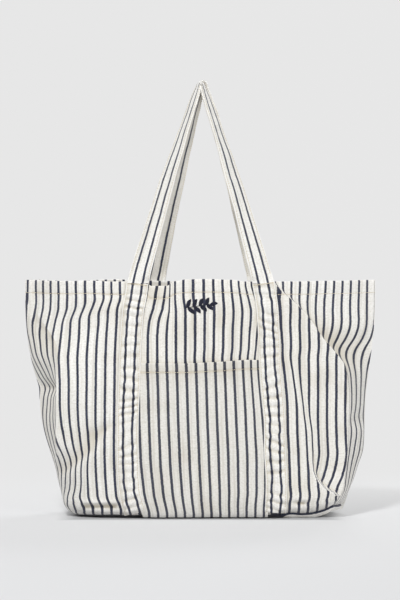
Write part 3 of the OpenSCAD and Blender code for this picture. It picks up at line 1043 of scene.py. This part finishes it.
def handle(name, face, seed):
    """A handle: two legs that twist from flat on the rim to edge-on at the top, joined by a tight bend."""
    left, centre = handle_path(face, -1, 110)
    right, _ = handle_path(face, 1, 110)
    turn = np.linspace(np.pi, 0, 13)[1:-1]
    bend = centre + np.column_stack([bend_r * np.cos(turn), 0 * turn, 1.25 * bend_r * np.sin(turn)])
    path = np.concatenate([left, bend, right[::-1]])
    run = run_along(path)
    tangent = unit(np.gradient(path, axis=0))
    half = run[-1] / 2
    t = 1 - np.abs(run - half) / half
    out = face_shapes[face][3]
    twist = np.radians(through(t, (0, 0), (0.04, 14), (0.13, 22), (0.29, 35), (0.45, 44), (0.61, 53),
                               (0.77, 63), (0.9, 68), (1, 80)))
    outward = unit(np.cross(tangent, np.array([0, 1.0, 0])))
    normal = np.cos(twist)[:, None] * np.array([0, out, 0]) + np.sin(twist)[:, None] * outward
    width = unit(np.cross(tangent, normal))
    normal = np.cross(width, tangent)
    # The ends lie level along the rim.
    level = (smooth(0, 14, run) * (1 - smooth(run[-1] - 14, run[-1], run)))[:, None]
    width = unit(np.sign(width[:, :1]) * np.array([1.0, 0, 0]) * (1 - level) + width * level)
    across, crown = strap_section()
    w = across[None, :] + 0 * run[:, None]
    r = run[:, None] + 0 * w
    lift = strap_t / 2 + crown[None, :] - 0.6 * (w / (strap_w / 2)) ** 2
    lift = lift + 0.45 * noise(w, r, 14, 26, seed) + 0.25 * noise(w, r, 8, 9, seed + 1)
    shift = 0.6 * noise(0 * r, r, 10, 40, seed + 2)
    grid = path[:, None] + width[:, None] * (w + shift)[..., None] + normal[:, None] * lift[..., None]
    off_centre = 0.0 if face == "front" else back_loop_shift
    piece = sheet(name, grid, np.stack([w - off_centre, r], -1), strap_t, 0.3)
    piece.data.materials.append(strap_canvas)
    return piece, grid


front_left_strap, front_left_grid = sewn_strap("front_left_strap", "front", -1, 101)
front_right_strap, front_right_grid = sewn_strap("front_right_strap", "front", 1, 111)
back_left_strap, back_left_grid = sewn_strap("back_left_strap", "back", -1, 121)
back_right_strap, back_right_grid = sewn_strap("back_right_strap", "back", 1, 131)
front_loop, front_loop_grid = handle("front_loop", "front", 141)
back_loop, back_loop_grid = handle("back_loop", "back", 151)

# ---- Pocket ----

def pocket():
    """The patch pocket, whose sides lie under the straps and whose mouth stands a little open."""
    rows = np.concatenate([[0, 0.01, 0.03], np.linspace(0.05, 1, 100)])
    across = np.linspace(0, 1, 110)
    grid = np.zeros((len(rows), len(across), 3))
    marks = np.zeros((len(rows), len(across), 3))
    for i, u in enumerate(rows):
        rough_z = 2.0 + (pocket_top + 4 - 2.0) * u
        left = strap_x(-1, rough_z) + strap_w / 2 - 4.5
        right = strap_x(1, rough_z) - strap_w / 2 + 4.5
        x = left + (right - left) * across
        z = 2.0 + (mouth_z(x) - 2.0) * u
        rim_part = smooth(0.82, 1.0, u)
        inner = np.sin(np.pi * across)
        ease = 0.9 + 0.5 * smooth(0, 0.06, across) * (1 - smooth(0.94, 1, across))
        swell = (2.0 * rim_part + 0.6) * inner
        swell = swell + 0.7 * noise(x, z, 34, 50, 163) + 0.3 * noise(x, z, 14, 20, 164)
        hem_pull = 0.6 * bump(mouth_z(x) - z, pocket_stitch, 1.8) * (1 + noise(x, z, 6, 30, 165))
        y = front_y(x, z) - ease - swell * (0.3 + 0.7 * inner) + hem_pull
        grid[i] = np.column_stack([x, y, z])
        drift = 0.9 + 0.8 * smooth(100, 200, z) + 0.036 * x * smooth(20, 90, z)
        drift = drift + 1.5 * smooth(40, 75, x) * smooth(105, 160, z)
        # Painted shade: along the hem stitching, over the hem band, a little over the whole pocket and at
        # its edges under the straps; the noise adds random blotches.
        shade = 0.7 * bump(mouth_z(x) - z, pocket_stitch, 1.6) + 0.3 * rim_part + 0.15
        shade = shade + 0.3 * smooth(0.1, 1, noise(x, z, 30, 24, 166))
        shade = shade + 0.4 * (bump(across, 0, 0.02) + bump(across, 1, 0.02))
        pull = middle_shear(x, np.minimum(z, 224)) + drift
        marks[i] = np.column_stack([x - pull, z, np.clip(shade, 0, 1)])
    rolled, rolled_marks = turned_hem(grid, marks, 12.0, 1.25)
    piece = sheet("front_pocket", rolled, rolled_marks, 0.95)
    piece.data.materials.append(pocket_canvas)
    return piece, grid


front_pocket, pocket_grid = pocket()

# ---- Stitching ----

thread_sides = 6


def thread_rings(a, b, up, at, size, arch, length):
    """Rings of points round one stitch from a to b, which arches away from the cloth along up."""
    along = unit(b - a)
    side = unit(np.cross(up, along))
    angle = (np.arange(thread_sides) * 2 * math.pi / thread_sides)[:, None]
    centre = (a + b) / 2 + along * (at * length / 2)[:, None] + up * arch[:, None]
    circle = side * np.cos(angle) + up * np.sin(angle)
    return (centre[:, None] + circle[None] * size[:, None, None]).reshape(-1, 3)


def thread_object(name, tubes, rings, material):
    """One object from the rings of points of many short threads."""
    faces = []
    for start in range(0, len(tubes) * rings * thread_sides, rings * thread_sides):
        for low in range(start, start + (rings - 1) * thread_sides, thread_sides):
            for c in range(thread_sides):
                n = (c + 1) % thread_sides
                faces.append([low + c, low + n, low + thread_sides + n, low + thread_sides + c])
        faces.append([start + c for c in range(thread_sides - 1, -1, -1)])
        faces.append([start + (rings - 1) * thread_sides + c for c in range(thread_sides)])
    piece = to_mesh(name, np.concatenate(tubes), faces, None)
    piece.data.materials.append(material)
    return piece


def stitches(name, lines, length=stitch_len, radius=stitch_r):
    """Raised tan stitches. Each line is (points, normals) with one stitch between each pair of points."""
    at = np.array([-1, -0.72, 0, 0.72, 1])
    size = np.array([0.3, 0.85, 1, 0.85, 0.3]) * radius
    arch = radius * (0.9 - 1.1 * at ** 2)
    tubes = []
    for path, normal in lines:
        for a, b, n in zip(path[:-1], path[1:], normal[:-1]):
            along = unit(b - a)
            up = unit(n - along * (n @ along))
            tubes.append(thread_rings(a, b, up, at, size, arch, length))
    return thread_object(name, tubes, len(at), tan_thread)


def resample(path, normal, count=None):
    """Even points along a path, one stitch apart unless counted, with the normals carried along."""
    run = run_along(path)
    at = np.linspace(0, run[-1], count or max(2, int(run[-1] / stitch_step)))
    return sampled(path, run, at), unit(sampled(normal, run, at))


def column_line(grid, w, flip, clip):
    """A stitch line that runs up a strap's grid at w across it."""
    across, _ = strap_section()
    across = across[::-1] if flip else across
    order = np.argsort(across)
    at = np.interp(w, across[order], np.arange(len(across))[order])
    i = int(math.floor(at))
    f = at - i
    first, last = int(clip[0] * len(grid)), int(clip[1] * len(grid))
    path = grid[first:last, i] * (1 - f) + grid[first:last, i + 1] * f
    return resample(path, grid_normals(grid)[first:last, i])


def strap_rows(grid, flip=False, clip=(0, 1)):
    """The two stitch lines along the edges of a strap."""
    edge_row = strap_w / 2 - 2.3
    return [column_line(grid, -edge_row, flip, clip), column_line(grid, edge_row, flip, clip)]


def row_line(grid, depth):
    """A stitch line along a hem, at a depth below the top of the cloth."""
    target = grid[:, :, 2].max(axis=0) - depth
    path = np.zeros((grid.shape[1], 3))
    normals = grid_normals(grid)
    normal = np.zeros_like(path)
    for c in range(grid.shape[1]):
        r = int(np.argmax(grid[:, c, 2] > target[c]))
        f = (target[c] - grid[r - 1, c, 2]) / (grid[r, c, 2] - grid[r - 1, c, 2])
        path[c] = grid[r - 1, c] * (1 - f) + grid[r, c] * f
        normal[c] = normals[r, c]
    return resample(path, normal)


def tack_line(grid, below_rim):
    """Dense zigzag stitches across a strap, just below the rim."""
    middle = grid.shape[1] // 2
    row = int(np.argmin(np.abs(grid[:, middle, 2] - rim_z + below_rim)))
    path, normal = resample(grid[row, 2:-2], grid_normals(grid)[row, 2:-2], 34)
    path[::2, 2] += 0.9
    path[1::2, 2] -= 0.9
    return path, normal


def loop_stitches(name, grid):
    """The stitching of a handle, which shows on both of its faces."""
    back_side = (grid - grid_normals(grid) * strap_t)[:, ::-1]
    clip = (0.015, 0.985)
    return stitches(name, strap_rows(grid, False, clip) + strap_rows(back_side, True, clip))


front_rows = strap_rows(front_left_grid) + strap_rows(front_right_grid)
back_rows = strap_rows(back_left_grid, True) + strap_rows(back_right_grid, True)
front_threads = stitches("front_strap_stitching", front_rows)
back_threads = stitches("back_strap_stitching", back_rows)
front_zigzags = [tack_line(front_left_grid, 5), tack_line(front_right_grid, 4)]
back_zigzags = [tack_line(back_left_grid, 3), tack_line(back_right_grid, 3)]
front_tacks = stitches("front_tacks", front_zigzags, tack_len, tack_r)
back_tacks = stitches("back_tacks", back_zigzags, tack_len, tack_r)
front_hem_row = stitches("front_hem_stitching", [row_line(front_body, hem_stitch)])
back_hem_row = stitches("back_hem_stitching", [row_line(back_body, hem_stitch)])
pocket_row = stitches("pocket_stitching", [row_line(pocket_grid, pocket_stitch)])
front_loop_row = loop_stitches("front_loop_stitching", front_loop_grid)
back_loop_row = loop_stitches("back_loop_stitching", back_loop_grid)

# ---- Embroidery ----

sprig_half = (sprig_high.x - sprig_low.x) / 2 / MM
sprig_rise = (sprig_high.z - sprig_low.z) / 2 / MM


def stem_z(x):
    """Height of the sprig's stem."""
    return sprig_z + sprig_rise * 0.35 * math.sin(x / sprig_half * 1.6)


def on_front(x, z):
    """A point just proud of the front cloth, and the direction out of it."""
    step = 0.5
    xs, zs = np.array([x, x + step, x]), np.array([z, z, z + step])
    y = front_y(xs, zs)
    normal = np.array([(y[1] - y[0]) / step, -1, (y[2] - y[0]) / step])
    return np.array([x, y[0], z]), unit(normal)


def leaf_lines(x, z, angle, length, width):
    """Satin stitches across a leaf, from its root at (x, z), as pairs of ends with their normals."""
    lines = []
    count = int(length / 0.42)
    for i in range(1, count):
        u = i / count
        half = width / 2 * math.sin(math.pi * u ** 0.8) ** 0.8 + 0.12
        cx = x + length * u * math.cos(angle)
        cz = z + length * u * math.sin(angle)
        lean = angle + math.pi / 2 - 0.5
        ends = [(cx - half * math.cos(lean), cz - half * math.sin(lean)),
                (cx + half * math.cos(lean), cz + half * math.sin(lean))]
        lines.append([on_front(*end) for end in ends])
    return lines


def sprig():
    """A navy sprig in satin stitch: a stem with pairs of leaves and one at the tip."""
    stem = [on_front(x, stem_z(x)) for x in np.linspace(-sprig_half + 1, sprig_half - 10, 40)]
    lines = [(a[0], b[0], a[1], 0.5, 1.4) for a, b in zip(stem[:-1], stem[1:])]
    leaves = []
    for i in range(4):
        x = -sprig_half + 4 + i * 9.0
        size = 13.5 - 0.7 * i
        leaves += leaf_lines(x, stem_z(x), math.radians(60), size, 7.4)
        leaves += leaf_lines(x + 3.2, stem_z(x + 3.2), math.radians(-50), size - 0.5, 7.4)
    tip = sprig_half - 10.5
    leaves += leaf_lines(tip, stem_z(tip), math.radians(4), 11.0, 7.0)
    lines += [(a[0], b[0], a[1], 0.34, np.linalg.norm(b[0] - a[0])) for a, b in leaves]
    at = np.linspace(-1, 1, 7)
    tubes = []
    for a, b, normal, radius, length in lines:
        size = radius * np.sqrt(np.clip(1.05 - at ** 2, 0.08, 1))
        arch = radius * (0.7 + 1.6 * (1 - at ** 2)) - 0.15
        tubes.append(thread_rings(a, b, normal, at, size, arch, length))
    return thread_object("navy_sprig", tubes, len(at), navy_thread)


navy_sprig = sprig()
for tape in (left_tape, right_tape):
    tape.data.materials.append(tape_canvas)

# ---- Stage, lights and camera ----

floor_glow = 0.31       # the backdrop's own light, which keeps it even
wall_glow = 0.78
far_glow = 0.42         # more of it where only the views from other sides look
floor_grey = (0.45, 0.455, 0.465, 1)
wall_grey = (0.02, 0.02, 0.02, 1)


def backdrop():
    """A pale floor that sweeps up into a wall behind the bag."""
    depth, back, radius, top = -3.2, 2.2, 0.9, 2.6
    path = [(depth, 0.0), (back - radius, 0.0)]
    for i in range(1, 13):
        a = math.pi / 2 * i / 12
        path.append((back - radius + radius * math.sin(a), radius - radius * math.cos(a)))
    path.append((back, top))
    half = 4.0
    points = [(x, y, z) for y, z in path for x in (-half, half)]
    faces = [(2 * i, 2 * i + 1, 2 * i + 3, 2 * i + 2) for i in range(len(path) - 1)]
    mesh = bpy.data.meshes.new("backdrop")
    mesh.from_pydata(points, [], faces)
    mesh.polygons.foreach_set("use_smooth", np.ones(len(faces), bool))
    obj = bpy.data.objects.new("backdrop", mesh)
    bpy.context.scene.collection.objects.link(obj)
    material, principled, g = shader("backdrop")
    set_inputs(principled, {"Roughness": 1.0, "Specular IOR Level": 0.0, "Emission Color": (1, 1, 1, 1)})
    place = g.nodes.new("ShaderNodeNewGeometry")
    x, y, _ = g.split(place.outputs["Position"])
    away = g.step(y, 0.0, 0.7)
    near = g.math("MAXIMUM", g.math("MULTIPLY_ADD", y, 0.13, floor_glow), 0.0)
    # The floor gives no light of its own under the bag, which keeps the bag's contact shadow.
    beside = g.step(g.math("ABSOLUTE", x), 0.17, 0.21)
    before = g.step(g.math("ABSOLUTE", y), 0.068, 0.09)
    near = g.times(near, g.math("MAXIMUM", beside, before))
    # Beyond the camera's view the floor is as pale as the wall, for the views from other sides.
    aside = g.step(g.math("ABSOLUTE", x), 0.8, 2.2)
    behind = g.step(g.times(y, -1.0), 0.9, 2.2)
    near = g.math("MULTIPLY_ADD", g.math("MAXIMUM", aside, behind), far_glow, near)
    far = g.times(away, wall_glow)
    glow = g.math("MULTIPLY_ADD", g.minus(1.0, away), near, far)
    g.links.new(glow, principled.inputs["Emission Strength"])
    g.links.new(g.mix(away, floor_grey, wall_grey), principled.inputs["Base Color"])
    # The wall doesn't hide the bag from a camera that stands behind it.
    clear = g.nodes.new("ShaderNodeBsdfTransparent")
    one_sided = g.nodes.new("ShaderNodeMixShader")
    g.links.new(place.outputs["Backfacing"], one_sided.inputs["Fac"])
    g.links.new(principled.outputs[0], one_sided.inputs[1])
    g.links.new(clear.outputs[0], one_sided.inputs[2])
    g.links.new(one_sided.outputs[0], g.nodes["Material Output"].inputs["Surface"])
    mesh.materials.append(material)


def area_light(name, place, size, power):
    """A round soft light that looks at the bag."""
    light = bpy.data.lights.new(name, "AREA")
    light.shape = "DISK"
    light.size = size
    light.energy = power
    obj = bpy.data.objects.new(name, light)
    obj.location = place
    aim = Vector((0, 0, 0.25)) - Vector(place)
    obj.rotation_euler = aim.to_track_quat("-Z", "Y").to_euler()
    bpy.context.scene.collection.objects.link(obj)


backdrop()
area_light("key", (-0.6, -1.7, 2.3), 0.45, 48)
area_light("fill", (1.9, -2.5, 0.9), 1.6, 24)
area_light("back", (0.7, 1.7, 2.1), 0.9, 16)
room_light = 0.41       # what the room gives to the bag
room_seen = 0.79        # what a view past the backdrop's edge shows
world = bpy.data.worlds.new("studio")
sky = Graph(world)
room = sky.nodes["Background"]
room.inputs["Color"].default_value = (1, 0.99, 0.97, 1)
seen = sky.nodes.new("ShaderNodeLightPath").outputs["Is Camera Ray"]
sky.feed(room.inputs["Strength"], sky.math("MULTIPLY_ADD", seen, room_seen - room_light, room_light))
bpy.context.scene.world = world
bpy.context.scene.view_settings.view_transform = "Standard"

camera_back = 3.0       # metres in front of the middle of the bag
camera_x = -0.0007
camera_z = 0.350
field_height = 0.852    # height of the picture at the front of the bag
field_middle = 0.311    # height of the picture's centre
sensor = 24.0
camera = bpy.data.cameras.new("camera")
camera.sensor_fit = "VERTICAL"
camera.sensor_height = sensor
camera.lens = sensor * (camera_back - face_y * MM) / field_height
camera.shift_y = (field_middle - camera_z) / field_height
camera_obj = bpy.data.objects.new("camera", camera)
camera_obj.location = (camera_x, -camera_back, camera_z)
camera_obj.rotation_euler = (math.pi / 2, 0, 0)
bpy.context.scene.collection.objects.link(camera_obj)
bpy.context.scene.camera = camera_obj

# ---- Motion ----

# Each piece with the CAD nodes that it stands for.
body_pieces = (
    (front_cloth, "front_panel", "left_gusset_front", "right_gusset_front", "front_hem", "left_hem_front",
     "right_hem_front"),
    (back_cloth, "back_panel", "left_gusset_rear", "right_gusset_rear", "back_hem", "left_hem_rear",
     "right_hem_rear"),
    (base, "base_front", "base_rear", "front_base_seam", "back_base_seam"),
    (left_tape, "left_side_seam"),
    (right_tape, "right_side_seam"),
    (front_left_strap, "front_strap_left"),
    (front_right_strap, "front_strap_right"),
    (back_left_strap, "back_strap_left"),
    (back_right_strap, "back_strap_right"),
    (front_pocket, "pocket_panel", "pocket_hem"),
    (front_threads, "front_strap_thread"),
    (back_threads, "back_strap_thread"),
    (front_tacks, "front_bar_tacks"),
    (back_tacks, "back_bar_tacks"),
    (front_hem_row, "front_hem_thread"),
    (back_hem_row, "back_hem_thread"),
    (pocket_row, "pocket_thread"),
    (navy_sprig, "embroidered_sprig"),
)
handle_pieces = (
    (front_loop, "front", "front_handle"),
    (front_loop_row, "front", "front_handle_thread"),
    (back_loop, "back", "back_handle"),
    (back_loop_row, "back", "back_handle_thread"),
)
for piece, *nodes in body_pieces:
    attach(piece, "front")
    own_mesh(piece)
    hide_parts(*nodes)
for piece, face, node in handle_pieces:
    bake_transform(piece)
    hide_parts(node)
